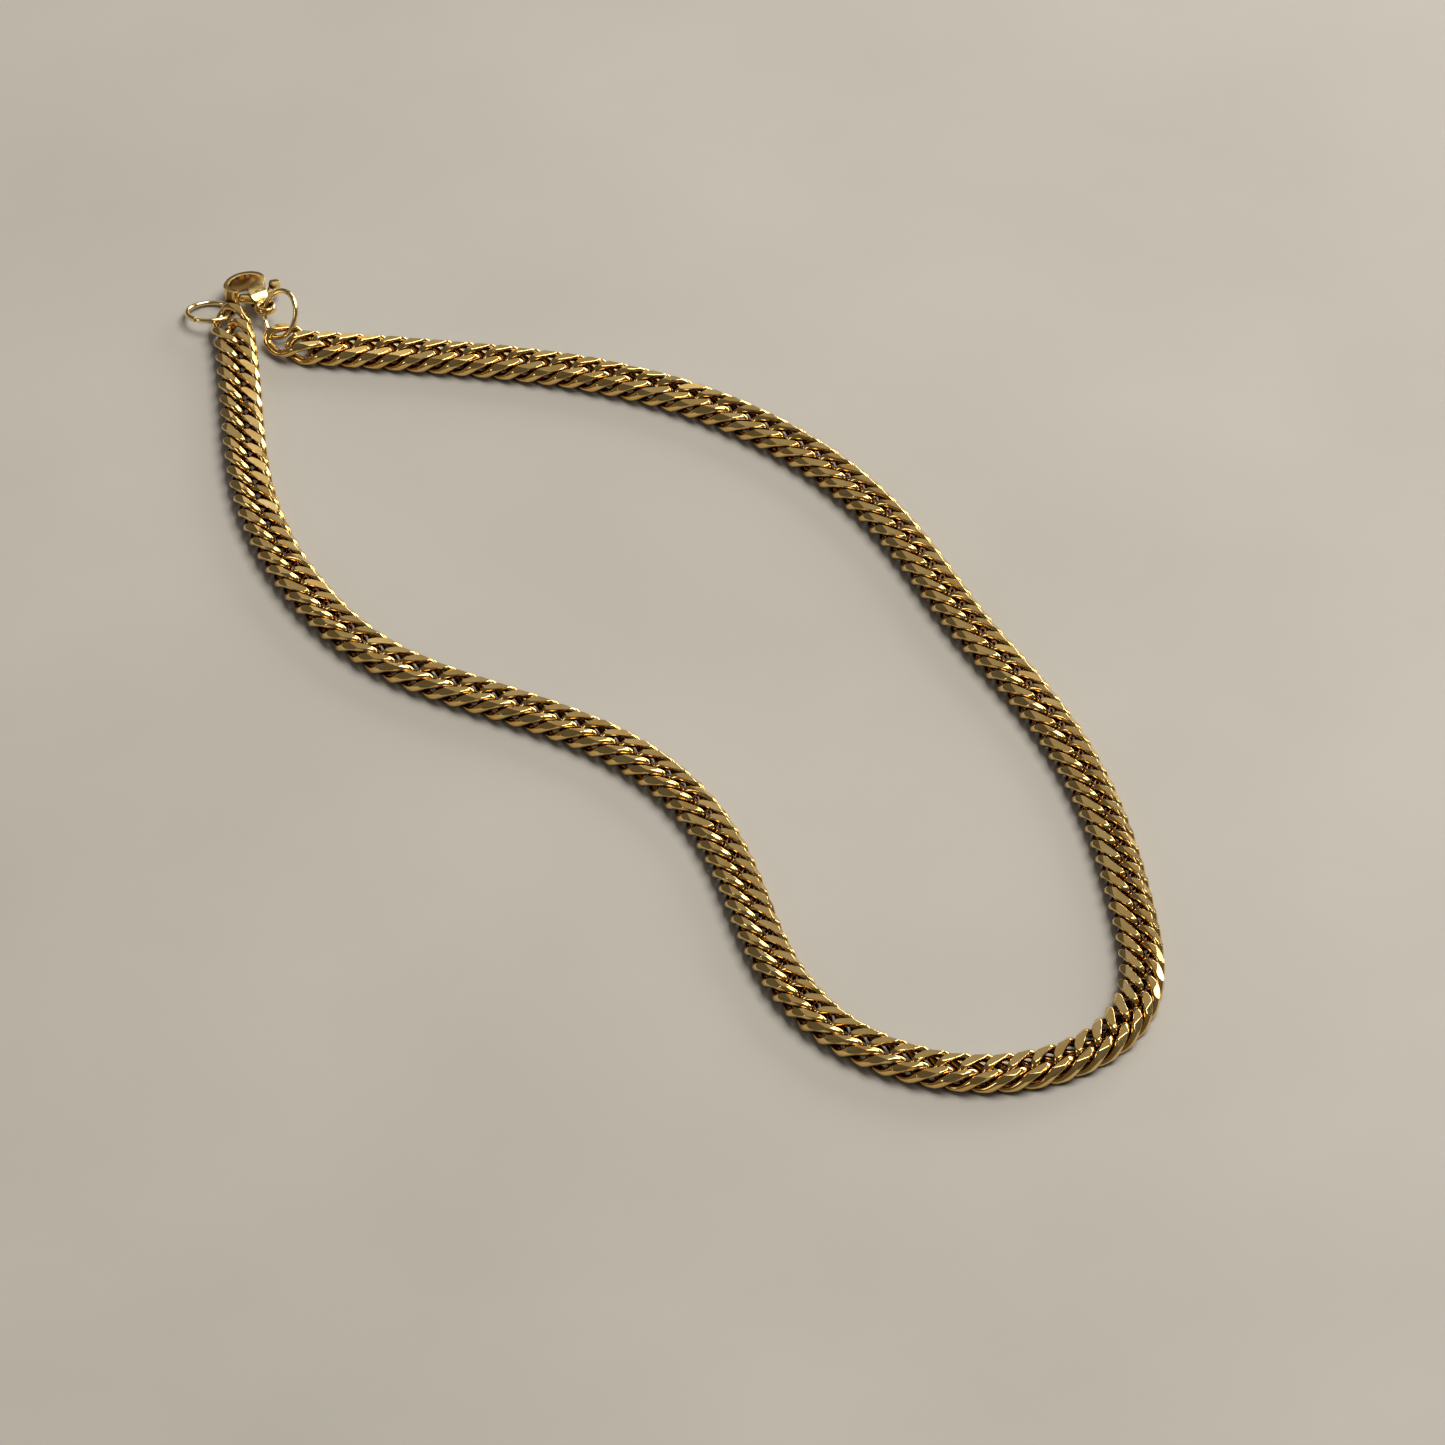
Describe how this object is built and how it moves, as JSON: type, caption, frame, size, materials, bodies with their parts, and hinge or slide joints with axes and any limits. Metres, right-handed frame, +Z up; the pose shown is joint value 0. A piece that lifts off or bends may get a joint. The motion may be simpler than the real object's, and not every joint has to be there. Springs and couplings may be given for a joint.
{
  "type": "chain necklace",
  "caption": "Open yellow gold necklace of diamond-cut double curb links, laid down in a loose loop, with a jump ring at each end and a sprung lobster clasp.",
  "frame": {"origin": "under the middle of the laid-down necklace, on the surface it lies on", "axes": "+Z up from the surface, +Y from the rounded end of the loop to the clasp, +X to the viewer's right in the picture"},
  "size_m": [0.1302, 0.1636, 0.0065],
  "materials": {
    "chain_gold": "diamond-cut and polished yellow gold",
    "ring_gold": "drawn and polished yellow gold wire",
    "clasp_gold": "cast and polished yellow gold",
    "spring_steel": "plain spring wire"
  },
  "bodies": {
    "chain_segment_01": {"chain_segment_01": "chain_gold"},
    "chain_segment_02": {"chain_segment_02": "chain_gold"},
    "chain_segment_03": {"chain_segment_03": "chain_gold"},
    "chain_segment_04": {"chain_segment_04": "chain_gold"},
    "chain_segment_05": {"chain_segment_05": "chain_gold"},
    "chain_segment_06": {"chain_segment_06": "chain_gold"},
    "chain_segment_07": {"chain_segment_07": "chain_gold"},
    "chain_segment_08": {"chain_segment_08": "chain_gold"},
    "chain_segment_09": {"chain_segment_09": "chain_gold"},
    "chain_segment_10": {"chain_segment_10": "chain_gold"},
    "chain_segment_11": {"chain_segment_11": "chain_gold"},
    "chain_segment_12": {"chain_segment_12": "chain_gold"},
    "chain_segment_13": {"chain_segment_13": "chain_gold"},
    "chain_segment_14": {"chain_segment_14": "chain_gold"},
    "chain_segment_15": {"chain_segment_15": "chain_gold"},
    "chain_segment_16": {"chain_segment_16": "chain_gold"},
    "chain_segment_17": {"chain_segment_17": "chain_gold"},
    "chain_segment_18": {"chain_segment_18": "chain_gold"},
    "chain_segment_19": {"chain_segment_19": "chain_gold"},
    "chain_segment_20": {"chain_segment_20": "chain_gold"},
    "chain_segment_21": {"chain_segment_21": "chain_gold"},
    "chain_segment_22": {"chain_segment_22": "chain_gold"},
    "chain_segment_23": {"chain_segment_23": "chain_gold"},
    "chain_segment_24": {"chain_segment_24": "chain_gold"},
    "chain_segment_25": {"chain_segment_25": "chain_gold"},
    "chain_segment_26": {"chain_segment_26": "chain_gold"},
    "chain_segment_27": {"chain_segment_27": "chain_gold"},
    "chain_segment_28": {"chain_segment_28": "chain_gold"},
    "chain_segment_29": {"chain_segment_29": "chain_gold"},
    "chain_segment_30": {"chain_segment_30": "chain_gold"},
    "chain_segment_31": {"chain_segment_31": "chain_gold"},
    "chain_segment_32": {"chain_segment_32": "chain_gold"},
    "chain_segment_33": {"chain_segment_33": "chain_gold"},
    "chain_segment_34": {"chain_segment_34": "chain_gold"},
    "chain_segment_35": {"chain_segment_35": "chain_gold"},
    "chain_segment_36": {"chain_segment_36": "chain_gold"},
    "chain_segment_37": {"chain_segment_37": "chain_gold"},
    "chain_segment_38": {"chain_segment_38": "chain_gold"},
    "chain_segment_39": {"chain_segment_39": "chain_gold"},
    "chain_segment_40": {"chain_segment_40": "chain_gold"},
    "chain_segment_41": {"chain_segment_41": "chain_gold"},
    "chain_segment_42": {"chain_segment_42": "chain_gold"},
    "chain_segment_43": {"chain_segment_43": "chain_gold"},
    "chain_segment_44": {"chain_segment_44": "chain_gold"},
    "chain_segment_45": {"chain_segment_45": "chain_gold"},
    "end_link_left": {"end_link_left": "chain_gold"},
    "end_link_right": {"end_link_right": "chain_gold"},
    "jump_ring_left": {"jump_ring_left": "ring_gold"},
    "jump_ring_right": {"jump_ring_right": "ring_gold"},
    "clasp_body": {"clasp_body": "clasp_gold", "clasp_pin": "clasp_gold", "clasp_spring": "spring_steel"},
    "clasp_lever": {"clasp_lever": "clasp_gold"}
  },
  "joints": [
    {"name": "clasp_lever_open", "type": "hinge", "parent": "clasp_body", "child": "clasp_lever", "pos_m": [-0.05498, 0.07619, 0.00212], "axis": [0.0717, -0.1193, -0.9903], "range_deg": [0, 18], "stiffness_Nm_per_rad": 0.004, "springref_deg": -8.59},
    {"name": "clasp_swing", "type": "hinge", "parent": "jump_ring_right", "child": "clasp_body", "pos_m": [-0.05386, 0.07375, 0.00249], "axis": [-0.2369, -0.4893, -0.8393], "range_deg": [0, 60]},
    {"name": "end_link_left_swing", "type": "hinge", "parent": "chain_segment_01", "child": "end_link_left", "pos_m": [-0.05804, 0.06895, 0.00137], "axis": [0, 0, 1], "range_deg": [0, 3]},
    {"name": "end_link_right_swing", "type": "hinge", "parent": "chain_segment_45", "child": "end_link_right", "pos_m": [-0.04795, 0.06638, 0.00137], "axis": [0, 0, -1], "range_deg": [0, 4]},
    {"name": "jump_ring_left_swing", "type": "hinge", "parent": "end_link_left", "child": "jump_ring_left", "pos_m": [-0.0595, 0.07415, 0.00173], "axis": [-0.4374, -0.0769, -0.896], "range_deg": [0, 60]},
    {"name": "jump_ring_right_swing", "type": "hinge", "parent": "end_link_right", "child": "jump_ring_right", "pos_m": [-0.05328, 0.06814, 0.00179], "axis": [-0.1682, -0.5067, -0.8455], "range_deg": [0, 45]},
    {"name": "link_bend_01", "type": "hinge", "parent": "chain_segment_02", "child": "chain_segment_01", "pos_m": [-0.05702, 0.05989, 0.00137], "axis": [0, 0, 1], "range_deg": [0, 9]},
    {"name": "link_bend_02", "type": "hinge", "parent": "chain_segment_03", "child": "chain_segment_02", "pos_m": [-0.05618, 0.05081, 0.00137], "axis": [0, 0, 1], "range_deg": [0, 9]},
    {"name": "link_bend_03", "type": "hinge", "parent": "chain_segment_04", "child": "chain_segment_03", "pos_m": [-0.05519, 0.04174, 0.00137], "axis": [0, 0, 1], "range_deg": [0, 9]},
    {"name": "link_bend_04", "type": "hinge", "parent": "chain_segment_05", "child": "chain_segment_04", "pos_m": [-0.05351, 0.03278, 0.00137], "axis": [0, 0, 1], "range_deg": [0, 9]},
    {"name": "link_bend_05", "type": "hinge", "parent": "chain_segment_06", "child": "chain_segment_05", "pos_m": [-0.05077, 0.02409, 0.00137], "axis": [0, 0, 1], "range_deg": [0, 9]},
    {"name": "link_bend_06", "type": "hinge", "parent": "chain_segment_07", "child": "chain_segment_06", "pos_m": [-0.04695, 0.01581, 0.00137], "axis": [0, 0, 1], "range_deg": [0, 9]},
    {"name": "link_bend_07", "type": "hinge", "parent": "chain_segment_08", "child": "chain_segment_07", "pos_m": [-0.04209, 0.00811, 0.00137], "axis": [0, 0, 1], "range_deg": [0, 9]},
    {"name": "link_bend_08", "type": "hinge", "parent": "chain_segment_09", "child": "chain_segment_08", "pos_m": [-0.03595, 0.00139, 0.00137], "axis": [0, 0, 1], "range_deg": [0, 9]},
    {"name": "link_bend_09", "type": "hinge", "parent": "chain_segment_10", "child": "chain_segment_09", "pos_m": [-0.02844, -0.00377, 0.00137], "axis": [0, 0, 1], "range_deg": [0, 9]},
    {"name": "link_bend_10", "type": "hinge", "parent": "chain_segment_11", "child": "chain_segment_10", "pos_m": [-0.02031, -0.00789, 0.00137], "axis": [0, 0, 1], "range_deg": [0, 9]},
    {"name": "link_bend_11", "type": "hinge", "parent": "chain_segment_12", "child": "chain_segment_11", "pos_m": [-0.0122, -0.01205, 0.00137], "axis": [0, 0, 1], "range_deg": [0, 9]},
    {"name": "link_bend_12", "type": "hinge", "parent": "chain_segment_13", "child": "chain_segment_12", "pos_m": [-0.00459, -0.01706, 0.00137], "axis": [0, 0, 1], "range_deg": [0, 9]},
    {"name": "link_bend_13", "type": "hinge", "parent": "chain_segment_14", "child": "chain_segment_13", "pos_m": [0.00188, -0.02346, 0.00137], "axis": [0, 0, 1], "range_deg": [0, 9]},
    {"name": "link_bend_14", "type": "hinge", "parent": "chain_segment_15", "child": "chain_segment_14", "pos_m": [0.00678, -0.03113, 0.00137], "axis": [0, 0, 1], "range_deg": [0, 9]},
    {"name": "link_bend_15", "type": "hinge", "parent": "chain_segment_16", "child": "chain_segment_15", "pos_m": [0.01022, -0.03957, 0.00137], "axis": [0, 0, 1], "range_deg": [0, 9]},
    {"name": "link_bend_16", "type": "hinge", "parent": "chain_segment_17", "child": "chain_segment_16", "pos_m": [0.01267, -0.04835, 0.00137], "axis": [0, 0, 1], "range_deg": [0, 9]},
    {"name": "link_bend_17", "type": "hinge", "parent": "chain_segment_18", "child": "chain_segment_17", "pos_m": [0.01527, -0.05709, 0.00137], "axis": [0, 0, 1], "range_deg": [0, 9]},
    {"name": "link_bend_18", "type": "hinge", "parent": "chain_segment_19", "child": "chain_segment_18", "pos_m": [0.0191, -0.06535, 0.00137], "axis": [0, 0, 1], "range_deg": [0, 9]},
    {"name": "link_bend_19", "type": "hinge", "parent": "chain_segment_20", "child": "chain_segment_19", "pos_m": [0.02487, -0.07236, 0.00137], "axis": [0, 0, 1], "range_deg": [0, 9]},
    {"name": "link_bend_20", "type": "hinge", "parent": "chain_segment_21", "child": "chain_segment_20", "pos_m": [0.03262, -0.0771, 0.00137], "axis": [0, 0, 1], "range_deg": [0, 9]},
    {"name": "link_bend_21", "type": "hinge", "parent": "chain_segment_22", "child": "chain_segment_21", "pos_m": [0.04149, -0.07901, 0.00137], "axis": [0, 0, 1], "range_deg": [0, 9]},
    {"name": "link_bend_22", "type": "hinge", "parent": "chain_segment_23", "child": "chain_segment_22", "pos_m": [0.05039, -0.07741, 0.00137], "axis": [0, 0, 1], "range_deg": [0, 9]},
    {"name": "link_bend_23", "type": "hinge", "parent": "chain_segment_23", "child": "chain_segment_24", "pos_m": [0.05782, -0.07225, 0.00137], "axis": [0, 0, -1], "range_deg": [0, 9]},
    {"name": "link_bend_24", "type": "hinge", "parent": "chain_segment_24", "child": "chain_segment_25", "pos_m": [0.06179, -0.06416, 0.00137], "axis": [0, 0, -1], "range_deg": [0, 9]},
    {"name": "link_bend_25", "type": "hinge", "parent": "chain_segment_25", "child": "chain_segment_26", "pos_m": [0.06216, -0.05508, 0.00137], "axis": [0, 0, -1], "range_deg": [0, 9]},
    {"name": "link_bend_26", "type": "hinge", "parent": "chain_segment_26", "child": "chain_segment_27", "pos_m": [0.06111, -0.04602, 0.00137], "axis": [0, 0, -1], "range_deg": [0, 9]},
    {"name": "link_bend_27", "type": "hinge", "parent": "chain_segment_27", "child": "chain_segment_28", "pos_m": [0.05969, -0.03701, 0.00137], "axis": [0, 0, -1], "range_deg": [0, 9]},
    {"name": "link_bend_28", "type": "hinge", "parent": "chain_segment_28", "child": "chain_segment_29", "pos_m": [0.05771, -0.02811, 0.00137], "axis": [0, 0, -1], "range_deg": [0, 9]},
    {"name": "link_bend_29", "type": "hinge", "parent": "chain_segment_29", "child": "chain_segment_30", "pos_m": [0.05501, -0.0194, 0.00137], "axis": [0, 0, -1], "range_deg": [0, 9]},
    {"name": "link_bend_30", "type": "hinge", "parent": "chain_segment_30", "child": "chain_segment_31", "pos_m": [0.05157, -0.01096, 0.00137], "axis": [0, 0, -1], "range_deg": [0, 9]},
    {"name": "link_bend_31", "type": "hinge", "parent": "chain_segment_31", "child": "chain_segment_32", "pos_m": [0.04743, -0.00283, 0.00137], "axis": [0, 0, -1], "range_deg": [0, 9]},
    {"name": "link_bend_32", "type": "hinge", "parent": "chain_segment_32", "child": "chain_segment_33", "pos_m": [0.04306, 0.00517, 0.00137], "axis": [0, 0, -1], "range_deg": [0, 9]},
    {"name": "link_bend_33", "type": "hinge", "parent": "chain_segment_33", "child": "chain_segment_34", "pos_m": [0.03904, 0.01335, 0.00137], "axis": [0, 0, -1], "range_deg": [0, 9]},
    {"name": "link_bend_34", "type": "hinge", "parent": "chain_segment_34", "child": "chain_segment_35", "pos_m": [0.03524, 0.02164, 0.00137], "axis": [0, 0, -1], "range_deg": [0, 9]},
    {"name": "link_bend_35", "type": "hinge", "parent": "chain_segment_35", "child": "chain_segment_36", "pos_m": [0.03099, 0.02971, 0.00137], "axis": [0, 0, -1], "range_deg": [0, 9]},
    {"name": "link_bend_36", "type": "hinge", "parent": "chain_segment_36", "child": "chain_segment_37", "pos_m": [0.02587, 0.03725, 0.00137], "axis": [0, 0, -1], "range_deg": [0, 9]},
    {"name": "link_bend_37", "type": "hinge", "parent": "chain_segment_37", "child": "chain_segment_38", "pos_m": [0.01981, 0.04405, 0.00137], "axis": [0, 0, -1], "range_deg": [0, 9]},
    {"name": "link_bend_38", "type": "hinge", "parent": "chain_segment_38", "child": "chain_segment_39", "pos_m": [0.01286, 0.04995, 0.00137], "axis": [0, 0, -1], "range_deg": [0, 9]},
    {"name": "link_bend_39", "type": "hinge", "parent": "chain_segment_39", "child": "chain_segment_40", "pos_m": [0.00515, 0.05482, 0.00137], "axis": [0, 0, -1], "range_deg": [0, 9]},
    {"name": "link_bend_40", "type": "hinge", "parent": "chain_segment_40", "child": "chain_segment_41", "pos_m": [-0.00315, 0.05856, 0.00137], "axis": [0, 0, -1], "range_deg": [0, 9]},
    {"name": "link_bend_41", "type": "hinge", "parent": "chain_segment_41", "child": "chain_segment_42", "pos_m": [-0.01186, 0.06125, 0.00137], "axis": [0, 0, -1], "range_deg": [0, 9]},
    {"name": "link_bend_42", "type": "hinge", "parent": "chain_segment_42", "child": "chain_segment_43", "pos_m": [-0.02079, 0.06309, 0.00137], "axis": [0, 0, -1], "range_deg": [0, 9]},
    {"name": "link_bend_43", "type": "hinge", "parent": "chain_segment_43", "child": "chain_segment_44", "pos_m": [-0.02982, 0.06437, 0.00137], "axis": [0, 0, -1], "range_deg": [0, 9]},
    {"name": "link_bend_44", "type": "hinge", "parent": "chain_segment_44", "child": "chain_segment_45", "pos_m": [-0.03888, 0.06543, 0.00137], "axis": [0, 0, -1], "range_deg": [0, 9]}
  ]
}
